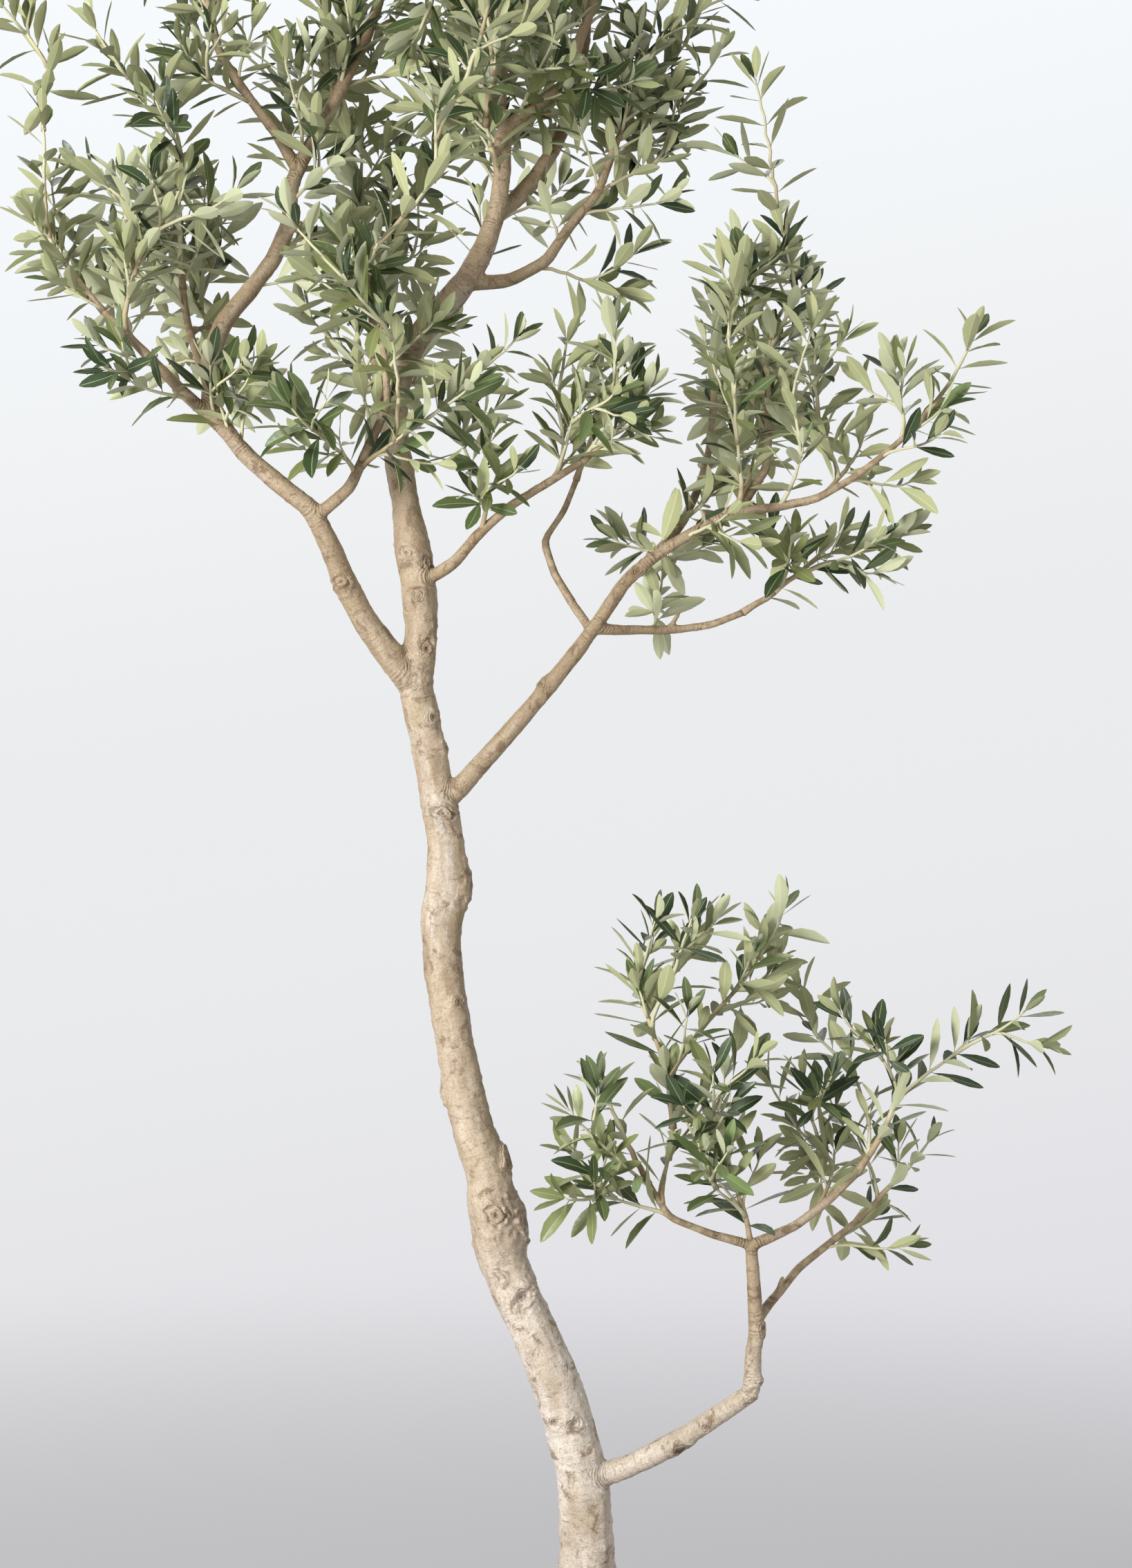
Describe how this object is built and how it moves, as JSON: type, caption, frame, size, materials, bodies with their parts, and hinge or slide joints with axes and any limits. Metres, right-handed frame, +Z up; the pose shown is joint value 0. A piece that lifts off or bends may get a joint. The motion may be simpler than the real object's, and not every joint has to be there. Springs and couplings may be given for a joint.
{
  "type": "potted olive tree",
  "caption": "Young olive tree with a leaning, knotted trunk, an open crown of silvery green leaves and a low side bough, in a plain round terracotta pot.",
  "frame": {"origin": "middle of the pot's flat underside", "axes": "+Z up along the tree; the front faces -Y and the long low boughs reach to +X, the viewer's right"},
  "size_m": [1.1655, 0.72, 2.5798],
  "materials": {
    "bark": "matt, ribbed and dotted bark",
    "twigs": "matt, smooth young wood",
    "leaves": "satin upper side, matt silvery underside",
    "terracotta": "matt, unglazed",
    "soil": "matt, crumbly bark compost"
  },
  "bodies": {
    "root": {"pot": "terracotta", "soil": "soil", "trunk": "bark", "leader": "bark", "bough_left": "bark", "bough_left_inner": "bark", "bough_left_high": "bark", "bough_left_fork": "bark", "bough_top": "bark", "bough_top_fork": "bark", "bough_top_back": "bark", "bough_right_high": "bark", "bough_small_right": "bark", "bough_right": "bark", "bough_right_riser": "bark", "bough_right_lower": "bark", "bough_right_thin": "bark", "bough_right_back": "bark", "bough_low": "bark", "bough_low_riser": "bark", "bough_low_left": "bark", "bough_low_right": "bark", "bough_low_side": "bark", "bough_back": "bark", "bough_back_left": "bark", "bough_back_right": "bark", "mass_left_tip": "leaves", "mass_left_outer": "leaves", "mass_left_low": "leaves", "mass_left_inner": "leaves", "mass_left_shoot": "leaves", "mass_left_high_a": "leaves", "mass_left_high_b": "leaves", "mass_top_left": "leaves", "mass_center_front": "leaves", "mass_center_shoot": "leaves", "mass_center_back": "leaves", "mass_low_left_small": "leaves", "mass_upper_right_a": "leaves", "mass_upper_right_b": "leaves", "mass_top_center": "leaves", "mass_top_right": "leaves", "mass_top_front": "leaves", "mass_top_back": "leaves", "mass_right_mid_small": "leaves", "mass_right_mid": "leaves", "mass_right_tall_top": "leaves", "mass_right_tall": "leaves", "mass_right_back": "leaves", "mass_right_tip": "leaves", "mass_right_low": "leaves", "mass_right_low_tip": "leaves", "mass_back_left": "leaves", "mass_low_left": "leaves", "mass_low_center": "leaves", "mass_low_middle": "leaves", "mass_low_right": "leaves", "mass_low_right_high": "leaves", "mass_low_right_tip": "leaves", "mass_low_right_low": "leaves"}
  },
  "joints": []
}
